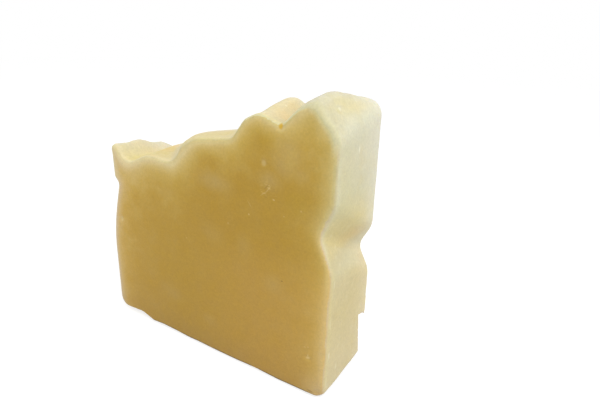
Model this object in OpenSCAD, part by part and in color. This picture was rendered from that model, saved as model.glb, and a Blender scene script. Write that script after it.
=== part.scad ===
// A bar of handmade soap: one slice of a poured loaf, standing on its straight base.
// The two cut faces are flat. The poured top runs through the slice as a row of swells,
// low at one end and high at the other, and the tall end has a waist groove across it.
// The origin is the middle of the base, +X is the tall end and the front face looks to -Y.

/* [Slice] */
// Width of the slice across its base
bar_w = 80.5; // [74:0.5:90]
// Thickness between the two cut faces
bar_t = 25; // [18:0.5:35]
// Radius of the worn edges round both cut faces
edge_r = 1.2; // [0.8:0.1:2]
// Radius of the crisper edges round the base
foot_r = 0.5; // [0.2:0.1:1.5]
// Radius of the corner of the base at the tall end
base_r = 2.2; // [2.1:0.1:5]
// Radius of the corner of the base at the low end
base_low_r = 4; // [2.1:0.1:5]

/* [Low end] */
// Height of the worn hollow under the low end, at the front face
wear_h = 1.6; // [0.2:0.1:2]
// Distance of the middle of the hollow from the low end
wear_x = 11; // [8:0.5:12]
// Distance from the low end to where the base is flat
wear_w = 16; // [15:0.5:20]
// Height above the base where the low end starts to lean in
lean_z = 30; // [10:1:35]
// Distance that the low end leans in below its lip
lean_in = 4.6; // [2.5:0.1:6]
// Height of the crease below the lip
lip_z = 46; // [42:0.5:49]
// Rise from that crease to the lip
lip_rise = 1.5; // [1:0.1:3]
// Overhang of the lip beyond the crease
lip_out = 1.7; // [0.5:0.1:2.4]
// Height of the rim above the lip, at the front face
rim_h = 60; // [57:0.5:61]
// Height of the rim at the back face
rim_back_h = 54; // [53.5:0.5:58]
// Rise of the rim between the cut faces
rim_rise = 2.6; // [0:0.1:4]
// Height of the ripples along the rim
ripple_h = 0.7; // [0:0.1:1.2]
// Distance between the ripples
ripple_gap = 10; // [7:0.5:13]

/* [Terrace behind the rim] */
// Distance of the dip behind the rim from the low end, at the front face
dip_x = 9; // [7:0.5:10]
// The same distance at the back face
dip_back_x = 9.5; // [8:0.5:10]
// Height of the dip at the front face
dip_h = 53; // [51.5:0.5:55]
// Distance of the crease before the low swell from the low end, at the front face
crease_x = 29; // [24:0.5:31]
// The same distance at the back face, where the terrace has narrowed to a gutter
crease_back_x = 12.5; // [12:0.5:20]
// Height of that crease at the front face
crease_h = 57; // [54:0.5:58]
// Height of the bulge between the dip and the crease
bulge_h = 0.5; // [0.1:0.1:1.5]
// Fall of the terrace towards the back face
terrace_fall = 1; // [0:0.5:3]

/* [Low swell] */
// Distance of the low swell's shoulder from the low end, at the front face
low_x = 36.5; // [34:0.5:40]
// The same distance at the back face
low_back_x = 22.5; // [20:0.5:34]
// Height of the low swell
low_h = 64.5; // [62:0.5:66]
// Rise of the low swell between the cut faces
low_rise = 0.4; // [0:0.1:3]
// Fall of its shoulder towards the back face
low_fall = 3; // [0:0.5:5]
// Rise from its shoulder to the foot of the middle swell
foot_rise = 1.8; // [0.5:0.1:3]

/* [Middle swell] */
// Distance of the middle swell's foot from the low end
foot_x = 50; // [47:0.5:51]
// Distance from its foot to its shoulder
flank_w = 4; // [3:0.5:6]
// Distance of its peak from the low end
mid_x = 58.5; // [58:0.5:61]
// Height of the middle swell at the front face
mid_h = 74; // [72:0.5:77]
// Rise from its shoulder to its peak
mid_slope = 2.3; // [1:0.1:3]
// Fall of the middle swell towards the back face
mid_fall = 3; // [0:0.5:4]
// Rise of the middle swell before the back face
mid_rise = 4.6; // [0:0.1:6]
// Distance of the notch from the tall end
notch_x = 15.5; // [14:0.1:16]
// Height of the notch
notch_h = 71.7; // [68:0.1:72]
// Fall of the notch towards the back face
notch_fall = 3; // [0:0.5:4]

/* [Tall end] */
// Distance of the peak from the tall end, at the front face
peak_x = 6.8; // [6:0.1:8]
// Height of the peak
peak_h = 78; // [76:0.5:82]
// Distance from the peak to its low shoulder
peak_w = 4.5; // [4:0.5:5.5]
// Rise from that shoulder to the peak
peak_slope = 2.6; // [1:0.1:3]
// Fall of the peak towards the back face
peak_fall = 1.5; // [0:0.5:3]
// Rise of the peak between the cut faces
peak_rise = 2.3; // [0:0.1:4]
// Height of the shoulder where the tall end starts
shoulder_z = 70.5; // [67:0.5:72]
// Distance that the end leans in at its shoulder, at the back face
top_in = 0.5; // [0:0.1:1.5]
// Distance that the peak and the shoulder move out towards the back face
peak_shift = 3.5; // [0:0.5:4]
// Height of the middle of the waist groove, at the front face
waist_z = 46.5; // [43:0.5:50]
// Fall of the groove towards the back face
waist_fall = 11; // [0:0.5:14]
// Depth of the groove
waist_deep = 3.7; // [2:0.1:6]
// Width of the groove's mouth at the front face
waist_w = 17; // [12:0.5:18]
// Width of the groove's mouth at the back face
waist_back_w = 13; // [12:0.5:18]

/* [Broken corner] */
// Height of the piece that is broken off the back edge of the tall end
chip_h = 13.5; // [6:0.5:20]
// Rise of the break's top towards the end face
chip_rise = 3.7; // [0:0.1:4]
// Width of the break at its top
chip_top = 5.8; // [2:0.1:7]
// Width of the break at the base
chip_foot = 2.8; // [1:0.1:4]

/* [Roundings] */
// Radius of the long bend where the low end leans in
lean_r = 60; // [30:5:90]
// Radius of the crease and the edge of the lip
lip_r = 1.5; // [1.3:0.1:2]
// Radius of the hollow under the low end
wear_r = 4; // [3:0.5:10]
// Radius of the dip behind the rim
dip_r = 5; // [3:0.5:6]
// Radius of the bulge between the dip and the crease
bulge_r = 16; // [8:1:24]
// Radius of the crease and of the middle swell's foot
crease_r = 3; // [2:0.5:4]
// Radius of the low swell's shoulder
low_r = 10; // [5:0.5:12]
// Radius of the middle swell
mid_r = 4.5; // [3:0.5:6]
// Radius of the notch
notch_r = 2; // [1:0.5:4]
// Radius of the peak
peak_r = 3; // [2:0.5:5]
// Radius of the shoulder at the tall end
shoulder_r = 8; // [4:0.5:10]
// Radius of the groove's bottom
waist_r = 4; // [2:0.5:6]
// Radius of the groove's lips
waist_lip_r = 8; // [4:0.5:10]

/* [Hidden] */

low_end = -bar_w / 2;
tall_end = bar_w / 2;
// Steps round each corner, round each worn edge and along the thickness
arc_steps = 6;
edge_steps = 4;
body_steps = 10;
// Points inside the front and the back cut face, as [x, z]. The outline of the low part can be
// seen whole from the first two, and that of the tall part from the last.
front_heart = [low_end + dip_x + 2.5, lip_z - 2];
back_heart = [low_end + dip_back_x + 7, lip_z - 2];
tall_heart = [tall_end - 24, 36];
// Where the low part meets the tall part
part_x = low_end + 26;
soap = [0.86, 0.74, 0.45];

// In all of these v runs from -1 at the front face to 1 at the back face.

// A value that changes evenly from the front face to the back face.
function run(front, back, v) = front * (1 - v) / 2 + back * (1 + v) / 2;

// A share that grows fast behind the front face and is whole at the back face.
function spread(v) = sin(45 * (1 + v));

// A rise from nothing at both cut faces to one at v = top.
function crown(v, top) =
    v < top ? sin(90 * (v + 1) / (top + 1)) : cos(90 * (v - top) / (1 - top));

// Ripples along the rim, as a wave that fades out at both cut faces.
function ripple(v) =
    ripple_h * (1 - pow(v, 4)) * cos(360 * (v * bar_t / 2 + ripple_gap / 4) / ripple_gap);

// The corners of the outline at v, clockwise from the foot of the tall end: [x, z, radius].
// The base lies between the first four.
function corners(v) =
    let (
        back = (1 + v) / 2,
        wear = wear_h * (1.2 - v) / 2.2,
        lip = low_end + lean_in - lip_out,
        rim = run(rim_h, rim_back_h, v) + rim_rise * crown(v, 0) + ripple(v),
        dip = low_end + run(dip_x, dip_back_x, v),
        crease = low_end + crease_x - (crease_x - crease_back_x) * spread(v),
        terrace = -terrace_fall * back,
        low_edge = low_end + low_x - (low_x - low_back_x) * spread(v),
        low = low_h + low_rise * crown(v, -0.3),
        foot = low_end + foot_x,
        mid = mid_h - mid_fall * back + mid_rise * pow(crown(v, 0.4), 2),
        peak = peak_h - peak_fall * back + peak_rise * crown(v, -0.3),
        waist = waist_z - waist_fall * back,
        mouth = run(waist_w, waist_back_w, v)
    )
    [
        [tall_end, 0, base_r],
        [low_end + wear_w, 0, wear_r],
        [low_end + wear_x, wear, wear_r],
        [low_end, wear / 2, base_low_r],
        [low_end, lean_z, lean_r],
        [low_end + lean_in, lip_z, lip_r],
        [lip, lip_z + lip_rise, lip_r],
        [lip, rim, edge_r],
        [dip, dip_h + terrace, dip_r],
        [(dip + crease) / 2, crease_h + bulge_h + terrace, bulge_r],
        [crease, crease_h + terrace, crease_r],
        [low_edge, low - low_fall * spread(v), low_r],
        [foot, low + foot_rise, crease_r],
        [foot + flank_w, mid - mid_slope, mid_r],
        [low_end + mid_x, mid, mid_r],
        [tall_end - notch_x, notch_h - notch_fall * back, notch_r],
        [tall_end - peak_x - peak_w, peak - peak_slope, mid_r],
        [tall_end - peak_x + peak_shift * back, peak, peak_r],
        [tall_end - top_in * back, shoulder_z + peak_shift * back, shoulder_r],
        [tall_end, waist + mouth / 2, waist_lip_r],
        [tall_end - waist_deep, waist, waist_r],
        [tall_end, waist - mouth / 2, waist_lip_r]
    ];

function unit(a) = a / norm(a);

// Inward normal of the edge from a to b of a clockwise outline.
function inward(a, b) = let (d = unit(b - a)) [d[1], -d[0]];

// How far the edge that starts at corner i moves in, as a share of the other edges.
function share(i) = i < 3 ? foot_r / edge_r : 1;

// The corners moved inward by a distance, with their edges kept parallel.
function moved_in(list, distance) =
    [for (i = [0 : len(list) - 1])
        let (
            j = (i + len(list) - 1) % len(list),
            p = [list[i][0], list[i][1]],
            after = list[(i + 1) % len(list)],
            n1 = inward([list[j][0], list[j][1]], p),
            n2 = inward(p, [after[0], after[1]]),
            d1 = distance * share(j),
            d2 = distance * share(i),
            c = n1 * n2,
            q = d1 == d2
                ? p + d1 * (n1 + n2) / (1 + c)
                : p + ((d1 - c * d2) * n1 + (d2 - c * d1) * n2) / (1 - c * c),
            convex = inward([0, 0], n1) * n2 > 0
        )
        [q[0], q[1], max(0.1, list[i][2] + (convex ? -distance : distance))]
    ];

// Points of the arc that rounds the corner p between its neighbours a and b.
function arc(a, p, b, r) =
    let (
        u = unit(a - p),
        w = unit(b - p),
        half = acos(max(-1, min(1, u * w))) / 2,
        reach = min(r / tan(half), norm(a - p) * 0.49, norm(b - p) * 0.49),
        centre = p + unit(u + w) * reach / cos(half),
        from = p + u * reach - centre,
        to = p + w * reach - centre,
        start = atan2(from[1], from[0]),
        sweep = (atan2(to[1], to[0]) - start + 540) % 360 - 180
    )
    [for (k = [0 : arc_steps])
        let (t = start + sweep * k / arc_steps)
        centre + norm(from) * [cos(t), sin(t)]
    ];

// The rounded outline as [x, z] points.
function rounded(list) =
    [for (i = [0 : len(list) - 1])
        let (
            a = list[(i + len(list) - 1) % len(list)],
            p = list[i],
            b = list[(i + 1) % len(list)]
        )
        each arc([a[0], a[1]], [p[0], p[1]], [b[0], b[1]], p[2])
    ];

// Each section of the slice as [y, distance that its outline is moved in].
function sections() = concat(
    [for (k = [0 : edge_steps - 1]) let (t = 90 * k / edge_steps)
        [-bar_t / 2 + edge_r * (1 - cos(t)), edge_r * (1 - sin(t))]],
    [for (k = [0 : body_steps])
        [(bar_t / 2 - edge_r) * (2 * k / body_steps - 1), 0]],
    [for (k = [edge_steps - 1 : -1 : 0]) let (t = 90 * k / edge_steps)
        [bar_t / 2 - edge_r * (1 - cos(t)), edge_r * (1 - sin(t))]]
);

// Triangles that fill the outline whose points start at first, from the two hearts at middle.
function cut_face(ring, first, middle) =
    [for (i = [0 : len(ring) - 1])
        let (
            j = (i + 1) % len(ring),
            from = middle + (ring[i][0] < part_x ? 0 : 1),
            to = middle + (ring[j][0] < part_x ? 0 : 1)
        )
        each from == to
            ? [[from, first + i, first + j]]
            : [[from, first + i, first + j], [from, first + j, to]]
    ];

// The whole slice, skinned from the front face to the back face.
module slice() {
    rings = [for (s = sections())
        [for (p = rounded(moved_in(corners(2 * s[0] / bar_t), s[1]))) [p[0], s[0], p[1]]]];
    n = len(rings[0]);
    last = len(rings) - 1;
    front_middle = n * (last + 1);
    back_middle = front_middle + 2;
    points = concat(
        [for (ring = rings) each ring],
        [for (h = [front_heart, tall_heart]) [h[0], -bar_t / 2, h[1]]],
        [for (h = [back_heart, tall_heart]) [h[0], bar_t / 2, h[1]]]
    );
    skin = [for (s = [0 : last - 1]) for (i = [0 : n - 1])
        let (a = s * n + i, b = s * n + (i + 1) % n)
        each [[a, b + n, b], [a, a + n, b + n]]];
    front = cut_face(rings[0], 0, front_middle);
    back = [for (f = cut_face(rings[last], last * n, back_middle)) [f[0], f[2], f[1]]];
    polyhedron(points, concat(skin, front, back), convexity = 6);
}

// The break along the foot of the back edge at the tall end: a wedge that narrows downwards.
module break_off() {
    over = 1;
    foot = chip_foot + over;
    top = chip_top + over;
    points = [
        [over, over, -over], [-foot, over, -over], [over, -foot, -over],
        [over, over, chip_h], [-top, over, chip_h], [over, -top, chip_h + chip_rise]
    ];
    faces = [[0, 1, 2], [3, 5, 4], [0, 3, 4, 1], [1, 4, 5], [1, 5, 2], [2, 5, 3, 0]];
    translate([tall_end, bar_t / 2, 0])
        polyhedron(points, faces);
}

module soap_bar() {
    color(soap)
        difference() {
            slice();
            break_off();
        }
}

soap_bar();
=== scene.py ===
"""A bar of handmade soap: one slice of a poured loaf, standing on its straight base."""
import math

import bmesh
import bpy
import numpy as np
from mathutils import Matrix, Vector, noise


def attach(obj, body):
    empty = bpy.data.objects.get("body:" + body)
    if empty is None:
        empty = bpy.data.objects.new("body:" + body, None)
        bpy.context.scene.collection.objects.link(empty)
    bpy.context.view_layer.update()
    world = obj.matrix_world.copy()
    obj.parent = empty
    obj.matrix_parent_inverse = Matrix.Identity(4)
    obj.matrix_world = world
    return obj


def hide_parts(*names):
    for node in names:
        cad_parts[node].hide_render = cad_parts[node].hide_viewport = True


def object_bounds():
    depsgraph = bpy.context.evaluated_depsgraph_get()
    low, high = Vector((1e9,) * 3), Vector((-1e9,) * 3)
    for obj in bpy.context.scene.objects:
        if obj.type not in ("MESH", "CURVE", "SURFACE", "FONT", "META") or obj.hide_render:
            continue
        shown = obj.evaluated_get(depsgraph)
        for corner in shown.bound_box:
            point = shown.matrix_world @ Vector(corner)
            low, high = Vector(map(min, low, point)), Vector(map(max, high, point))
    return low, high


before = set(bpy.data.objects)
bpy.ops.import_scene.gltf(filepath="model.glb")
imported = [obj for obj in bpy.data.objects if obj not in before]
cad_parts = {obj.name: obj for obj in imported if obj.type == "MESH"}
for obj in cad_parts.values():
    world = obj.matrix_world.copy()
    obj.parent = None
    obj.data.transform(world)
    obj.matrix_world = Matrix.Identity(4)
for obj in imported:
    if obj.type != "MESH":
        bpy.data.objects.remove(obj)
cad_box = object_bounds()

MM = 0.001
HALF_T = cad_box[1].y / MM
TALL_END = cad_box[1].x / MM
LOW_END = cad_box[0].x / MM

# The camera's place in mm, its turn to the left, its tilt down and its roll in degrees, and
# its lens in mm.
CAMERA_AT = (81.6, -97.9, 89.1)
CAMERA_YAW, CAMERA_PITCH, CAMERA_ROLL = 30.75, 19.59, 2.28
CAMERA_LENS = 27.0

# How near the CAD solid's corners are to count as one, the grain of the net and the round of
# the cut edges, in mm.
WELD_REACH = 0.002
CELL = 0.48
EDGE_ROUND = 1.2
# How far the surface is turned towards the cut face where the painted highlight along the arris
# runs, in degrees.
ARRIS_TURN = 20
# How often the net is smoothed, and the share of each step in and of the step back out.
SMOOTH_ROUNDS, SMOOTH_IN, SMOOTH_OUT = 6, 0.55, -0.56
# A box round the edges of the broken corner, and how near a point is drawn onto them, in mm.
LEDGE_LOW = (TALL_END - 9, HALF_T - 10, 1)
LEDGE_HIGH = (TALL_END + 0.1, HALF_T + 0.1, 24)
LEDGE_REACH = 0.6 * CELL
# The turn between two faces that makes their edge a crisp one, in radians.
CRISP_TURN = 0.6
# How far the skin and the cut faces are drawn in, to make room for their swell, in mm, and how
# much of it the broken corner has.
SKIN_IN, FACE_IN = 0.14, 0.03
BROKEN_SWELL = 0.3
# How far the waviness of the foot reaches in from the front, in from the end and up, in mm.
LIFT_FROM_FRONT, LIFT_FROM_END, LIFT_HEIGHT = 3.5, 4, 4
# How far the slice keeps inside its box, in mm.
BOX_MARGIN = 0.005

# The white of the table that lights the soap, the white and the glow that the camera sees of it,
# and half its width in metres.
TABLE_WHITE, SHOWN_WHITE, SHOWN_GLOW = 0.7, 0.38, 0.74
TABLE_HALF = 1.5
# The strength of the even light, and the place in mm that the lamps are aimed at.
SKY_LIGHT = 0.68
LAMP_AIM = (0, 0, 35)


def srgb(red, green, blue):
    """A colour as it is read off a screen, from 0 to 255, as linear values."""
    def linear(c):
        c /= 255
        return c / 12.92 if c <= 0.04045 else ((c + 0.055) / 1.055) ** 2.4
    return (linear(red), linear(green), linear(blue), 1)


class Field:
    """A socket of a finish that stands in sums: each operator adds its Math node."""

    def __init__(self, finish, socket):
        self.finish = finish
        self.socket = socket

    def math(self, operation, first, second=0.0):
        """One Math node with its two numbers."""
        return self.finish.node("ShaderNodeMath", {"operation": operation}, {0: first, 1: second})

    def __add__(self, other):
        return self.math("ADD", self, other)

    def __sub__(self, other):
        return self.math("SUBTRACT", self, other)

    def __rsub__(self, other):
        return self.math("SUBTRACT", other, self)

    def __mul__(self, other):
        return self.math("MULTIPLY", self, other)

    __radd__ = __add__
    __rmul__ = __mul__

    def most(self, other):
        """The larger of two numbers."""
        return self.math("MAXIMUM", self, other)

    def rise(self, low, high):
        """0 at low and 1 at high, with a smooth way between them."""
        return self.finish.node(
            "ShaderNodeMapRange", {"interpolation_type": "SMOOTHSTEP"},
            {"Value": self, "From Min": low, "From Max": high})

    def fade(self, length):
        """1 at zero, falling off exponentially over a length."""
        return self.math("EXPONENT", self * (-1 / length))


class Finish:
    """The nodes of one material or of the sky, added one by one."""

    def __init__(self, owner):
        self.owner = owner
        owner.use_nodes = True
        self.tree = owner.node_tree
        self.tree.nodes.clear()

    def node(self, kind, settings=None, inputs=None, out=0):
        """Adds a node: its settings and a ramp's stops first, then its sockets' values or links."""
        made = self.tree.nodes.new(kind)
        for name, value in (settings or {}).items():
            if name == "stops":
                for at, colour in value[2:]:
                    made.color_ramp.elements.new(at)
                for element, (at, colour) in zip(made.color_ramp.elements, value):
                    element.position, element.color = at, colour
            else:
                setattr(made, name, value)
        for name, value in (inputs or {}).items():
            if isinstance(value, Field):
                self.tree.links.new(value.socket, made.inputs[name])
            else:
                made.inputs[name].default_value = value
        return Field(self, made.outputs[out]) if made.outputs else None

    def place(self):
        """Where a point lies on the piece, in metres."""
        return self.node("ShaderNodeTexCoord", out="Object")

    def along(self, axis):
        """One axis of the place, in mm."""
        return self.node("ShaderNodeSeparateXYZ", {}, {0: self.place()}, out=axis) * (1 / MM)

    def measure(self, name):
        """A number that the mesh carries at each point."""
        return self.node("ShaderNodeAttribute", {"attribute_name": name}, out="Fac")

    def grain(self, size, detail, roughness=0.5, at=None, shift=0.0):
        """Soft noise of a size in mm, from 0 to 1."""
        moved = self.node(
            "ShaderNodeVectorMath", {"operation": "ADD"},
            {0: at or self.place(), 1: (shift, shift, shift)})
        return self.node("ShaderNodeTexNoise", {}, {
            "Vector": moved, "Scale": 1 / (size * MM), "Detail": detail, "Roughness": roughness})

    def mark(self, at, middle, size, turn, soft):
        """1 inside an oval: its middle and half sizes in mm, turned about the thickness."""
        seen = self.node("ShaderNodeMapping", {"vector_type": "TEXTURE"}, {
            "Vector": at, "Location": Vector(middle) * MM,
            "Rotation": (0, math.radians(turn), 0), "Scale": Vector(size) * MM})
        reach = self.node("ShaderNodeVectorMath", {"operation": "LENGTH"}, {0: seen}, out="Value")
        return reach.rise(1, 1 - soft)

    def marks(self, at, ovals, soft):
        """The most of several marks, each with its own strength."""
        total = None
        for middle, size, turn, strength in ovals:
            one = self.mark(at, middle, size, turn, soft) * strength
            total = total.most(one) if total else one
        return total

    def ramp(self, value, stops):
        """A colour by a number: each stop is a number and its colour, lowest first."""
        low, high = stops[0][0], stops[-1][0]
        placed = [((number - low) / (high - low), srgb(*colour)) for number, colour in stops]
        along = (value - low) * (1 / (high - low))
        return self.node("ShaderNodeValToRGB", {"stops": placed}, {0: along})

    def blend(self, share, first, second):
        """The first colour at share 0 and the second at share 1, fields or red, green and blue."""
        first, second = (c if isinstance(c, Field) else srgb(*c) for c in (first, second))
        return self.node(
            "ShaderNodeMix", {"data_type": "RGBA"}, {0: share, 6: first, 7: second}, out=2)

    def tinted(self, colour, *tints):
        """A colour with tints laid over it in turn, each as its share and its colour."""
        for share, tint in tints:
            colour = self.blend(share, colour, tint)
        return colour

    def finish(self, surface, kind="ShaderNodeOutputMaterial"):
        """Links the surface to the output, and gives back the material or the sky."""
        self.node(kind, {}, {"Surface": surface})
        return self.owner


# The outline of the cut faces, as segments in mm.

def weld(mesh):
    """The CAD solid's faces in a mesh of their own, joined where their corners meet."""
    work = bmesh.new()
    work.from_mesh(mesh)
    bmesh.ops.remove_doubles(work, verts=work.verts, dist=WELD_REACH * MM)
    return work


def cut_outline(work, side):
    """The segments round the cut face at side -1 or 1, as pairs of [x, z]."""
    def on(face):
        return all(v.co.y * side / MM > HALF_T - 0.01 for v in face.verts)
    found = []
    for edge in work.edges:
        if len(edge.link_faces) == 2 and on(edge.link_faces[0]) != on(edge.link_faces[1]):
            found.append([[v.co.x / MM, v.co.z / MM] for v in edge.verts])
    return np.array(found)


def crisp_edges(work, low, high):
    """The ends of the sharp edges that lie inside a box, in mm."""
    found = []
    for edge in work.edges:
        ends = np.array([v.co for v in edge.verts]) / MM
        inside = (ends >= low).all() and (ends <= high).all()
        if inside and len(edge.link_faces) == 2 and edge.calc_face_angle() > CRISP_TURN:
            found.append(ends)
    return found


def distance_to(points, segments):
    """The least distance of each point from the segments, in mm."""
    best = np.full(len(points), 60.0)
    for a, b in segments:
        along = b - a
        t = np.clip((points - a) @ along / max(along @ along, 1e-9), 0, 1)
        best = np.minimum(best, np.linalg.norm(points - a - t[:, None] * along, axis=1))
    return best


# The slice.

def remeshed(work):
    """The welded solid as an even net of small squares."""
    mesh = bpy.data.meshes.new("soap_slice")
    work.to_mesh(mesh)
    piece = bpy.data.objects.new("soap_slice", mesh)
    bpy.context.scene.collection.objects.link(piece)
    net = piece.modifiers.new("net", "REMESH")
    net.mode = "VOXEL"
    net.voxel_size = CELL * MM
    netted = piece.evaluated_get(bpy.context.evaluated_depsgraph_get())
    made = bpy.data.meshes.new_from_object(netted)
    piece.modifiers.clear()
    piece.data = made
    bpy.data.meshes.remove(mesh)
    return piece


def read_points(mesh):
    """The points of a mesh, in mm."""
    co = np.empty(len(mesh.vertices) * 3)
    mesh.vertices.foreach_get("co", co)
    return co.reshape(-1, 3) / MM


def read_normals(mesh):
    """The directions that the points of a mesh face."""
    mesh.update()
    out = np.empty(len(mesh.vertices) * 3)
    mesh.vertex_normals.foreach_get("vector", out)
    return out.reshape(-1, 3)


def write_points(mesh, points):
    """Moves the points of a mesh, in mm."""
    mesh.vertices.foreach_set("co", (points * MM).ravel())
    mesh.update()


def smoothed(mesh, values, rounds, share=0.5):
    """Values at the points, each drawn towards the mean of its neighbours."""
    ends = np.empty(len(mesh.edges) * 2, np.int32)
    mesh.edges.foreach_get("vertices", ends)
    a, b = ends.reshape(-1, 2).T
    count = np.bincount(a, minlength=len(values)) + np.bincount(b, minlength=len(values))
    values = values.copy()
    for step in range(rounds):
        mean = np.stack([
            np.bincount(a, column[b], len(column)) + np.bincount(b, column[a], len(column))
            for column in values.T], 1) / count[:, None]
        values += share * (mean - values)
    return values


def ripples(points, size, seed):
    """Soft noise of a size in mm at each point, from -1 to 1."""
    shift = Vector((seed, 0.37 * seed, 0.71 * seed))
    return np.array([noise.noise(Vector(p) / size + shift) for p in points])


work = weld(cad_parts["soap_bar"].data)
front_outline = cut_outline(work, -1)
back_outline = cut_outline(work, 1)
ledge = crisp_edges(work, LEDGE_LOW, LEDGE_HIGH)
slice_piece = remeshed(work)
work.free()
net = slice_piece.data

points = read_points(net)
for turn in range(SMOOTH_ROUNDS):
    points = smoothed(net, points, 1, SMOOTH_IN)
    points = smoothed(net, points, 1, SMOOTH_OUT)
# The ledge of the broken corner stays crisp: points close to its edges are drawn onto them,
# and the nearest point goes to each of its corners.
for a, b in ledge:
    along = b - a
    t = np.clip((points - a) @ along / (along @ along), 0, 1)
    onto = a + t[:, None] * along
    close = np.linalg.norm(points - onto, axis=1) < LEDGE_REACH
    points[close] = onto[close]
for corner in np.concatenate(ledge):
    points[np.argmin(np.linalg.norm(points - corner, axis=1))] = corner
write_points(net, points)
normals = read_normals(net)

# Cured soap isn't true: the poured skin swells and sinks a little, the cut faces hardly,
# the broken corner less, and the underside not at all.
cut = np.clip((np.abs(normals[:, 1]) - 0.55) / 0.4, 0, 1)
skin = 1 - cut
swell = (
    0.16 * ripples(points, 11, 3.1) + 0.06 * ripples(points, 4.2, 9.4)
    + 0.02 * ripples(points, 1.6, 5.7))
drag = 0.035 * ripples(points * (1, 1, 0.5), 9, 14.2) + 0.01 * ripples(points, 2.4, 2.6)
outward = (swell - SKIN_IN) * skin + (drag - FACE_IN) * cut
broken = (points[:, 0] > TALL_END - 9) & (points[:, 1] > HALF_T - 8) & (points[:, 2] < 20)
outward[broken] *= BROKEN_SWELL
outward *= np.clip((normals[:, 2] + 0.97) / 0.2, 0, 1)
points += normals * outward[:, None]


def from_part(chosen):
    """How far each point is from a part of the outline of the nearer cut face, in mm."""
    flat = points[:, [0, 2]]
    front, back = (
        distance_to(flat, [s for s in outline if chosen(*s.mean(0))])
        for outline in (front_outline, back_outline))
    return np.where(points[:, 1] < 0, front, back)


from_base = from_part(lambda x, z: z < 3)
from_foot = points[:, 2].copy()

# The hand-cut base stands on its middle: how far its edge is off the table, in mm,
# along the front edge by x and along the tall end by y.
FRONT_LIFT = (
    (-24, 0.2), (-19.5, 0.6), (-13.5, 0.45), (-8, 0.05), (-4, 0.2), (1, 0.1), (11, 0.0),
    (15.5, 0.25), (18.5, 0.4), (26, 0.0), (30, 0.15), (35, 0.3), (38, 0.5), (40.2, 1.1))
END_LIFT = (
    (-12.5, 1.1), (-10.8, 0.9), (-7.3, 0.25), (-3.7, 0.3), (0.7, 0.7), (5.3, 1.1), (9.4, 1.6))
front_lift = np.interp(points[:, 0], *zip(*FRONT_LIFT))
end_lift = np.interp(points[:, 1], *zip(*END_LIFT))
by_front = np.clip((-points[:, 1] - HALF_T + LIFT_FROM_FRONT) / LIFT_FROM_FRONT, 0, 1)
by_end = np.clip((points[:, 0] - TALL_END + LIFT_FROM_END) / LIFT_FROM_END, 0, 1)
foot = np.clip(1 - points[:, 2] / LIFT_HEIGHT, 0, 1) ** 2
points[:, 2] += np.maximum(front_lift * by_front, end_lift * by_end) * foot

# Shallow pits, and bulges and crumbs where the depth is below zero: each as its middle, radius
# and depth in mm, and how far it spreads along x, y and z.
DENTS = (
    ((24.7, -12.4, 71.1), 1.3, 0.28, (1, 1, 1)),
    ((38.2, 8.6, 75.4), 5, -0.42, (1, 1, 1)),
    ((19.1, 1.4, 75.3), 3.2, -0.4, (1, 1.6, 1)),
    ((18.1, -4.8, 74.3), 3, -0.4, (1, 1.5, 1)),
    ((1.4, -3.3, 65.3), 5, -0.4, (1.4, 1, 1)),
    ((-8.5, -10.3, 61.7), 3.2, -0.5, (1, 1, 1)),
    ((-34.9, -8.5, 57.2), 4, -0.35, (1, 1.6, 1)),
    ((34.6, -4.5, 78.6), 3.5, -0.35, (1, 1, 1)),
    ((34.9, -12.5, 11.7), 1.3, 0.3, (1.1, 1, 0.8)),
    ((20.2, -12.5, 61.6), 0.9, 0.15, (1, 1, 1)),
    ((36.7, -7.2, 75.5), 1.0, -0.25, (1, 1, 1)),
    ((40.2, -1.1, 66.0), 0.8, 0.15, (1, 0.6, 1.6)),
    ((40.2, -10.3, 13.3), 1.0, 0.25, (1, 0.6, 1.6)),
    ((38.3, -12.0, 50.1), 0.8, 0.25, (1, 1, 1)),
    ((40.2, -5.6, 7.0), 0.9, 0.15, (1, 0.6, 1.8)),
    ((38.6, -12.5, 2.0), 1.6, 0.4, (1, 1, 1)),
    ((-35.3, -12.5, 34.1), 1.4, 0.3, (1, 1, 1)),
)
for middle, radius, depth, spread in DENTS:
    reach = np.linalg.norm((points - middle) / spread, axis=1) / radius
    bowl = np.clip(1 - reach ** 2, 0, 1) ** 1.5
    points -= normals * (depth * bowl)[:, None]

lowest = np.array(cad_box[0]) / MM
highest = np.array(cad_box[1]) / MM
points = np.clip(points, lowest + BOX_MARGIN, highest - BOX_MARGIN)
write_points(net, points)
normals = read_normals(net)


def carry(name, values):
    """Stores a number at each point, for the material."""
    layer = net.attributes.new(name, "FLOAT", "POINT")
    layer.data.foreach_set("value", values.astype(np.float32))


# How much each point faces out of a cut face, from 0 to 1.
facing = smoothed(net, np.abs(normals[:, 1:2]), 2)[:, 0]
carry("cut", np.clip((facing - 0.2) / 0.45, 0, 1))
carry("from_base", from_base)
carry("from_foot", from_foot)
# How far each point is from the arris: over the round of the cut edge and then on over the
# face or the side.
turned = np.degrees(np.arcsin(np.clip(facing, 0, 1)))
rim = from_part(lambda x, z: z > 3)
on_face = np.clip((turned - 55) / 30, 0, 1)
over_face = rim * on_face
over_side = np.clip(HALF_T - EDGE_ROUND - np.abs(points[:, 1]), 0, 30)
round_edge = np.radians(np.abs(turned - ARRIS_TURN)) * EDGE_ROUND
carry("from_arris", round_edge + over_face + over_side)
# How far the points of the cut faces are from the poured top and from the two ends.
carry("from_top", on_face * from_part(lambda x, z: z > 50 and LOW_END + 2.5 < x < TALL_END - 4))
carry("from_tall_end", on_face * from_part(lambda x, z: x > TALL_END - 7 and z > 3))
carry("from_low_end", on_face * from_part(lambda x, z: x < LOW_END + 7 and z > 3))
net.polygons.foreach_set("use_smooth", np.ones(len(net.polygons), bool))


# The soap.

FRONT = -HALF_T
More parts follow.
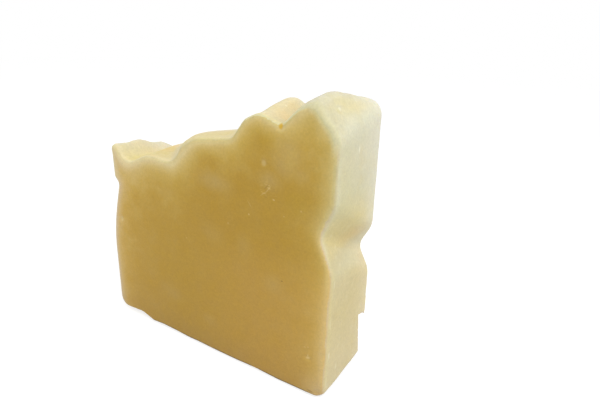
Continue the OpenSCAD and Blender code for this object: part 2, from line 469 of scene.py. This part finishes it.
# Milky clouds in the front cut face, as middle, half sizes, turn and strength.
CLOUDS = (
    ((4.2, FRONT, 54.0), (9, 4, 4.2), 6, 0.75),
    ((26.7, FRONT, 63.8), (6.2, 4, 7.8), 15, 0.9),
    ((22.0, FRONT, 57.8), (5.5, 4, 4), 0, 0.7),
    ((30.5, FRONT, 60.5), (3.5, 4, 3), 0, 0.5),
    ((20.3, FRONT, 62.0), (1.8, 4, 2.0), 0, 0.45),
    ((-13.7, FRONT, 47.0), (4, 4, 3), 0, 0.3),
    ((3.0, FRONT, 39.0), (7, 4, 5), 20, 0.3),
    ((14.0, FRONT, 38.0), (4, 4, 6), 0, 0.3),
    ((23.5, FRONT, 29.5), (5, 4, 5), 0, 0.4),
    ((1.0, FRONT, 10.5), (4, 4, 3), 0, 0.3),
    ((-14.4, FRONT, 14.5), (7, 4, 4), 10, 0.4),
)
# Clear places, where the honey shows deepest.
CLEAR = (
    ((33.6, FRONT, 73.0), (4, 4, 4.5), 20, 0.8),
    ((37.0, FRONT, 66.5), (3.5, 4, 6), 0, 0.5),
    ((19.8, FRONT, 67.0), (5, 4, 4.5), 0, 0.7),
    ((13.0, FRONT, 56.0), (4, 4, 5), 0, 0.4),
    ((3.0, FRONT, 59.5), (8, 4, 3), 5, 0.5),
    ((30.0, FRONT, 53.0), (7, 4, 5.5), 0, 0.5),
    ((26.5, FRONT, 47.0), (3, 4, 3), 0, 0.3),
)
# Pale specks, scratches and small chips.
NICKS = (
    ((20.2, FRONT, 61.7), (0.9, 2, 1.1), 0, 0.28),
    ((20.3, FRONT, 61.3), (0.2, 2, 0.5), 0, 0.3),
    ((20.2, FRONT, 54.0), (1.6, 2, 0.2), -38, 0.2),
    ((21.6, FRONT, 55.3), (1.9, 2, 0.2), -52, 0.25),
    ((23.3, FRONT, 53.0), (0.5, 2, 0.3), 15, 0.45),
    ((31.2, FRONT, 51.8), (0.4, 2, 0.3), 40, 0.25),
    ((15.7, FRONT, 47.5), (0.4, 2, 0.35), 0, 0.35),
    ((26.4, FRONT, 49.4), (0.3, 2, 0.3), 0, 0.25),
    ((15.9, FRONT, 50.4), (1.5, 2, 0.15), 52, 0.2),
    ((-6.8, FRONT, 35.0), (0.4, 2, 0.3), 0, 0.2),
    ((8.8, FRONT, 43.4), (0.4, 2, 0.4), 0, 0.2),
    ((38.3, -12.0, 50.1), (0.8, 1, 0.25), -45, 0.6),
    ((34.9, FRONT, 11.7), (0.9, 2, 0.5), -20, 0.5),
    ((34.9, FRONT, 12.4), (0.25, 2, 0.9), 12, 0.45),
    ((34.9, FRONT, 15.1), (0.4, 2, 0.3), 0, 0.25),
    ((33.9, FRONT, 14.8), (0.5, 2, 0.3), 0, 0.2),
    ((-35.3, FRONT, 34.1), (0.8, 2, 1.2), 0, 0.45),
)
# Dry white chips and scratches in the skin of the tall end and the top.
CHIPS = (
    ((40.2, -10.3, 13.3), (1, 0.35, 1.3), 0, 0.7),
    ((40.2, -5.6, 7.0), (1, 0.35, 1.4), 0, 0.5),
    ((40.2, -10.5, 34.1), (1, 0.25, 1.5), 0, 0.4),
    ((40.2, -10.9, 23.5), (1, 0.2, 3.2), 0, 0.3),
    ((40.2, -11.1, 5.5), (1, 0.3, 2.5), 0, 0.35),
    ((36.7, -7.2, 75.5), (0.8, 0.6, 0.8), 0, 0.5),
    ((40.2, -1.1, 66.0), (1, 0.4, 1.4), 0, 1.0),
    ((19.9, -2.6, 74.6), (0.7, 0.5, 0.7), 0, 0.4),
)
# Where the poured top glows warm in its hollows.
EMBERS = (
    ((-25.5, 4.5, 56.0), (4, 6, 2.5), 0, 0.75),
    ((-25.0, -3.0, 56.5), (6, 7, 3), 0, 0.35),
    ((22.5, -6, 72.8), (4.5, 5, 2.5), 30, 0.35),
    ((20.5, 0, 74.0), (3, 5, 2.5), 0, 0.2),
    ((-6.0, 8.0, 62.5), (7, 5, 4), 0, 0.3),
)
# Dry white places on the poured top: the rim of the low end and the crests.
RIMS = (
    ((-39.0, 0, 59.5), (4.2, 16, 5), 0, 0.9),
    ((-27, 12, 56), (12, 5, 5), 0, 0.45),
    ((-9.0, -10, 57.5), (4, 4, 4), 0, 0.7),
    ((-24, -12.3, 54), (12, 1.6, 4), 0, 0.5),
    ((15.5, -9, 70), (4, 6, 4), 0, 0.6),
    ((33, -8, 78), (4, 6, 2.5), 0, 0.5),
)
# How pale the honey is, from its heart (0) to its edges (1), where the paling is painted light: the
# glow of light that passes through the thin soap.
HONEY = (
    (0.0, (179, 142, 52)), (0.2, (185, 150, 61)), (0.4, (192, 159, 71)),
    (0.6, (200, 170, 86)), (0.8, (208, 182, 106)), (1.0, (216, 195, 135)))
# The dry skin of the ends by its height, and of the poured top by its place along the slice.
END_SKIN = (
    (3, (215, 200, 155)), (10, (216, 200, 152)), (24, (213, 197, 144)), (33, (214, 199, 150)),
    (36.5, (213, 203, 161)), (39, (208, 195, 150)), (41.5, (215, 199, 143)), (45, (218, 202, 143)),
    (49, (220, 206, 150)), (56, (214, 208, 171)), (64, (218, 212, 181)), (72, (218, 215, 187)))
TOP_SKIN = (
    (-38, (226, 222, 200)), (-34.5, (226, 214, 180)), (-31, (225, 208, 146)),
    (-26, (220, 200, 124)), (-21, (217, 195, 124)), (-16, (220, 200, 144)),
    (0, (218, 197, 135)), (10, (213, 195, 148)), (14, (215, 199, 152)),
    (19, (222, 209, 168)), (23, (207, 192, 146)), (28, (208, 199, 160)),
    (33, (206, 199, 174)), (36, (213, 206, 174)), (40, (217, 211, 178)))
# A golden pit, a dark scratch, a dark speck and a brown line of painted shadow at the foot: each as
# its middle, half sizes, turn, softness, strength and colour.
SPOTS = (
    ((24.7, -12.4, 71.1), (0.8, 2, 1.0), -10, 0.6, 0.85, (206, 164, 38)),
    ((21.2, FRONT, 56.0), (1.3, 2, 0.2), -48, 0.7, 0.4, (140, 106, 50)),
    ((26.3, FRONT, 31.6), (0.3, 2, 0.3), 0, 0.5, 0.6, (120, 90, 40)),
    ((36.2, FRONT, 1.6), (1.6, 2, 0.35), 4, 0.7, 0.45, (128, 96, 58)),
)


def soap_finish():
    """Honey-coloured cut faces that pale towards their edges, and a cream cured skin."""
    f = Finish(bpy.data.materials.new("cured_soap"))
    at = f.place()
    x, y, z = f.along("X"), f.along("Y"), f.along("Z")
    normal = f.node("ShaderNodeNewGeometry", out="Normal")
    upward = f.node("ShaderNodeSeparateXYZ", {}, {0: normal}, out="Z")
    cut_face, top = f.measure("cut"), f.measure("from_top")
    base, foot = f.measure("from_base"), f.measure("from_foot")
    tall, low = f.measure("from_tall_end"), f.measure("from_low_end")

    patches = f.grain(6, 3.0, 0.55, shift=0.4)
    curd = f.grain(2.0, 2.0, 0.6, shift=1.3)
    fine = f.grain(0.9, 2.0, 0.5, shift=0.9)
    uneven = (patches - 0.5) * 1.8 + (curd - 0.5) * 0.8 + 1
    clear = f.marks(at, CLEAR, 1.0)

    # The cut faces pale towards the poured top, most at the left and below the peak,
    # and towards the two ends, least beside the waist of the tall one: painted light, the glow
    # of light that passes through their thin edges.
    crown = x.rise(24, 28) * x.rise(35, 31)
    reach = top * uneven * (1 - 0.3 * x.rise(0, -14) - 0.3 * crown + 0.5 * clear)
    by_top = reach.fade(4.3) * 0.78 + reach.fade(10) * 0.2
    waist, upper = z.rise(34, 42), z.rise(50, 58)
    reach = tall * uneven * (1 + 0.1 * waist - 0.2 * upper + 0.5 * clear)
    by_tall = reach.fade(3) * (0.6 + 0.14 * z.rise(36, 12) - 0.08 * waist + 0.12 * upper)
    by_tall = by_tall + tall.fade(14) * (1 - waist * 0.5) * 0.28
    by_low = (low * uneven).fade(3.6) * 0.72 + low.fade(16) * 0.25
    pale = 1 - (1 - by_top) * (1 - by_tall) * (1 - by_low)
    low_half = z.rise(46, 26)
    pale = pale + low_half * (0.04 + 0.05 * x.rise(-20, 10)) - clear * 0.05
    pale = pale + (patches - 0.5) * 0.1 + (curd - 0.5) * 0.12 + (fine - 0.5) * 0.08
    cloudy = f.marks(at, CLOUDS, 1.0) * (patches.rise(0.3, 0.6) * 0.6 + 0.4)
    honey = f.tinted(
        f.ramp(pale, HONEY),
        # Warmer low down, golden where it is clear and milky in the clouds.
        (low_half * x.rise(-10, 26) * 0.3, (198, 154, 84)),
        (clear * x.rise(10, 26) * (1 - pale) * 0.6, (183, 153, 48)),
        (cloudy * 0.8, (191, 164, 101)),
        # Amber beside the low end, and orange below the waist of the tall one.
        (low.fade(7) * 0.35, (210, 158, 74)),
        (tall.fade(2) * z.rise(42, 30) * 0.3, (224, 186, 104)),
        # Paler along the low end, along the top at the left and at the foot of the tall end.
        (low.fade(1.0) * 0.7, (209, 189, 158)),
        (top.fade(1.5) * x.rise(14, -16) * 0.7, (226, 210, 160)),
        (f.mark(at, (38.5, FRONT, 3), (8, 4, 7), 20, 1.0) * 0.4, (218, 190, 136)),
        # Greener beside the upper part of the tall end.
        (tall.fade(2.4) * z.rise(44, 54) * 0.3, (200, 194, 140)))
    # The strength of its colour drifts a little, and it is duller near the table.
    drift = (patches - 0.5) * 0.05 + (curd - 0.5) * 0.03
    honey = f.node("ShaderNodeHueSaturation", {}, {"Saturation": 1 + drift, "Color": honey})
    # Painted shadow: a thin dark line runs along the foot, where it meets the table, broken here
    # and there.
    broken_line = f.grain(5, 1.0, shift=0.7).rise(0.22, 0.48)
    shade = foot.rise(1.15, 0.5) * upward.rise(-0.97, -0.9) * broken_line
    honey = f.tinted(
        honey,
        (base.fade(7) * 0.2, (116, 90, 80)),
        (shade * x.rise(39, 36), (106, 80, 32)))

    # The cured skin: ivory high up, yellower low down and in the hollows.
    # The ends have a yellower edge at the upper corner, and the top is duller in front of the
    # peak, golden behind it and white on its rims.
    end_edge = (x - TALL_END).rise(-1, -3.5) * x.rise(20, 30) * z.rise(45, 49)
    ends = f.tinted(f.ramp(z, END_SKIN), (end_edge * 0.6, (223, 208, 146)))
    tops = f.tinted(
        f.ramp(x, TOP_SKIN),
        (x.rise(24, 30) * y.rise(-6, -12) * 0.8, (200, 193, 158)),
        (f.mark(at, (37.6, -0.5, 75.4), (2.6, 9, 2.2), 0, 1.0) * 0.5, (226, 212, 154)),
        (f.marks(at, RIMS, 1.0), (219, 217, 197)))
    far_side = f.blend(z.rise(30, 50), (230, 214, 172), (230, 226, 204))
    skin = f.tinted(
        f.blend(upward.rise(0.3, 0.75), ends, tops),
        # Warm in the hollows, and yellower below the shoulder.
        (f.marks(at, EMBERS, 1.0), (233, 196, 130)),
        (y.rise(2, -10) * z.rise(47, 53) * z.rise(72, 66) * 0.25, (212, 203, 140)),
        # Paler towards the back, and warm in the waist.
        (y.rise(-1, 12) * 0.6 + y.rise(6, 12) * 0.2, far_side),
        (f.mark(at, (38, 3, 42.5), (8, 9, 4), 0, 1.0) * 0.6, (222, 196, 132)),
        # Mottled all over, and shaded along the foot.
        ((patches - 0.5).rise(0, 0.3) * 0.25, (218, 201, 140)),
        ((curd - 0.5).rise(0.05, 0.35) * 0.3, (228, 222, 196)),
        (shade * 0.55, (124, 110, 84)))

    # The skin wraps a little round the shoulder, and a painted highlight runs along each arris.
    across = f.measure("from_arris")
    cool = z.rise(34, 44) * x.rise(28, 35)
    shoulder = z.rise(63, 68) * x.rise(27, 32)
    wrap = tall.rise(1.5, 0.1) * z.rise(65, 70)
    wrapped = f.blend(across.rise(2.2, 0.9), (206, 196, 134), (205, 200, 160))
    skin = f.blend(wrap * cut_face * 0.85, skin, wrapped)
    turning = across.rise(1.8, 0.6) * z.rise(48, 58) * (1 - shoulder)
    honey = f.blend(turning * 0.4, honey, (176, 168, 104))
    colour = f.blend(cut_face * (1 - wrap), skin, honey)
    arris_highlight = f.blend(cool, (228, 218, 158), (222, 219, 190))
    arris_highlight = f.blend(x.rise(2, -12), arris_highlight, (234, 220, 180))
    line = (across * (1 - 0.3 * x.rise(30, 35) - 0.35 * x.rise(-8, -16))).fade(0.6)
    line = line * (0.36 + 0.1 * cool + 0.15 * x.rise(0, -12))
    line = line * base.rise(1, 4) * (1 - 0.8 * shoulder)
    colour = f.blend(line, colour, arris_highlight)
    # Fine curds and dust make all of it a little lighter and darker.
    dust = f.grain(0.5, 1.0, shift=2.1)
    speckle = (curd - 0.5) * 0.08 + (fine - 0.5) * 0.13 + (dust - 0.5) * 0.2
    colour = f.node("ShaderNodeHueSaturation", {}, {"Value": 1 + speckle, "Color": colour})

    # Small marks: a scuffed patch with fine streaks, nicks, chips and spots, one of them a line of
    # painted shadow at the foot.
    stretched = f.node("ShaderNodeMapping", {}, {
        "Vector": at, "Rotation": (0, math.radians(45), 0), "Scale": (0.35, 1, 1)})
    streaks = f.grain(0.5, 1.0, 0.5, at=stretched, shift=0.03)
    scuffed = f.mark(at, (21.6, FRONT, 55.2), (3.6, 3, 3), 0, 0.8)
    colour = f.tinted(
        colour,
        (scuffed * streaks.rise(0.54, 0.7) * 0.6, (214, 187, 118)),
        (scuffed * streaks.rise(0.42, 0.28) * 0.45, (140, 106, 44)),
        (f.marks(at, NICKS, 0.7), (230, 210, 150)),
        (f.marks(at, CHIPS, 0.7), (246, 241, 214)))
    for middle, size, turn, soft, strength, tint in SPOTS:
        colour = f.blend(f.mark(at, middle, size, turn, soft) * strength, colour, tint)

    # A fine grain, rougher in the scuffed patch, and a little light that passes into the soap.
    grain = f.grain(0.45, 3.0, 0.6, shift=0.2) + scuffed * streaks * 2
    bump = f.node("ShaderNodeBump", {}, {"Strength": 0.3, "Distance": 0.03 * MM, "Height": grain})
    surface = f.node("ShaderNodeBsdfPrincipled", {"subsurface_method": "RANDOM_WALK"}, {
        "Base Color": colour, "Roughness": 0.42 + 0.16 * patches, "Normal": bump,
        "Subsurface Weight": 0.3, "Subsurface Scale": 1.4 * MM,
        "Subsurface Radius": (1.0, 0.8, 0.5), "IOR": 1.45, "Specular IOR Level": 0.3})
    return f.finish(surface)


net.materials.clear()
net.materials.append(soap_finish())
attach(slice_piece, "root")
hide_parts("soap_bar")


# The table, the light and the camera.

def behind_the_soap(f):
    """1 where the camera, a gloss or a clear body sees the backdrop itself."""
    seen = f.node("ShaderNodeLightPath", out="Is Camera Ray")
    for way in ("Is Glossy Ray", "Is Transmission Ray"):
        seen = seen.most(f.node("ShaderNodeLightPath", out=way))
    return seen


def table_finish():
    """A white table that keeps the soap's soft shadow."""
    f = Finish(bpy.data.materials.new("white_table"))
    plain, shown = (
        f.node("ShaderNodeBsdfDiffuse", {}, {"Color": (white, white, white, 1)})
        for white in (TABLE_WHITE, SHOWN_WHITE))
    glow = f.node("ShaderNodeEmission", {}, {"Color": (1, 1, 1, 1), "Strength": SHOWN_GLOW})
    lit = f.node("ShaderNodeAddShader", {}, {0: shown, 1: glow})
    return f.finish(f.node("ShaderNodeMixShader", {}, {0: behind_the_soap(f), 1: plain, 2: lit}))


def table():
    """The table that the slice stands on."""
    corners = [(x * TABLE_HALF, y * TABLE_HALF, 0) for x, y in ((-1, -1), (1, -1), (1, 1), (-1, 1))]
    mesh = bpy.data.meshes.new("table")
    mesh.from_pydata(corners, [], [(0, 1, 2, 3)])
    mesh.materials.append(table_finish())
    piece = bpy.data.objects.new("table", mesh)
    bpy.context.scene.collection.objects.link(piece)


def lamp(name, at, power, size):
    """A white square lamp at a place in mm, with its power in watts and its width in mm."""
    light = bpy.data.lights.new(name, "AREA")
    light.energy = power
    light.size = size * MM
    holder = bpy.data.objects.new(name, light)
    holder.location = Vector(at) * MM
    holder.rotation_euler = (Vector(at) - Vector(LAMP_AIM)).to_track_quat("Z", "Y").to_euler()
    bpy.context.scene.collection.objects.link(holder)


def sky():
    """White where it is seen, and an even light on the soap."""
    f = Finish(bpy.data.worlds.new("studio"))
    light = f.node("ShaderNodeBackground", {}, {"Color": (1, 1, 1, 1), "Strength": SKY_LIGHT})
    seen = f.node("ShaderNodeBackground", {}, {"Color": (1, 1, 1, 1)})
    mixed = f.node("ShaderNodeMixShader", {}, {0: behind_the_soap(f), 1: light, 2: seen})
    bpy.context.scene.world = f.finish(mixed, "ShaderNodeOutputWorld")


def camera():
    """The camera at the photograph's viewing angle."""
    lens = bpy.data.cameras.new("camera")
    lens.sensor_fit = "HORIZONTAL"
    lens.sensor_width = 36
    lens.lens = CAMERA_LENS
    lens.clip_start = 0.01
    holder = bpy.data.objects.new("camera", lens)
    turn = (Matrix.Rotation(math.radians(CAMERA_YAW), 4, "Z")
            @ Matrix.Rotation(math.radians(90 - CAMERA_PITCH), 4, "X")
            @ Matrix.Rotation(math.radians(CAMERA_ROLL), 4, "Z"))
    holder.matrix_world = Matrix.Translation(Vector(CAMERA_AT) * MM) @ turn
    bpy.context.scene.collection.objects.link(holder)
    bpy.context.scene.camera = holder


table()
sky()
lamp("key_lamp", at=(260, -120, 420), power=1.1, size=260)
lamp("fill_lamp", at=(-220, -380, 220), power=0.29, size=320)
camera()
bpy.context.scene.view_settings.view_transform = "Standard"
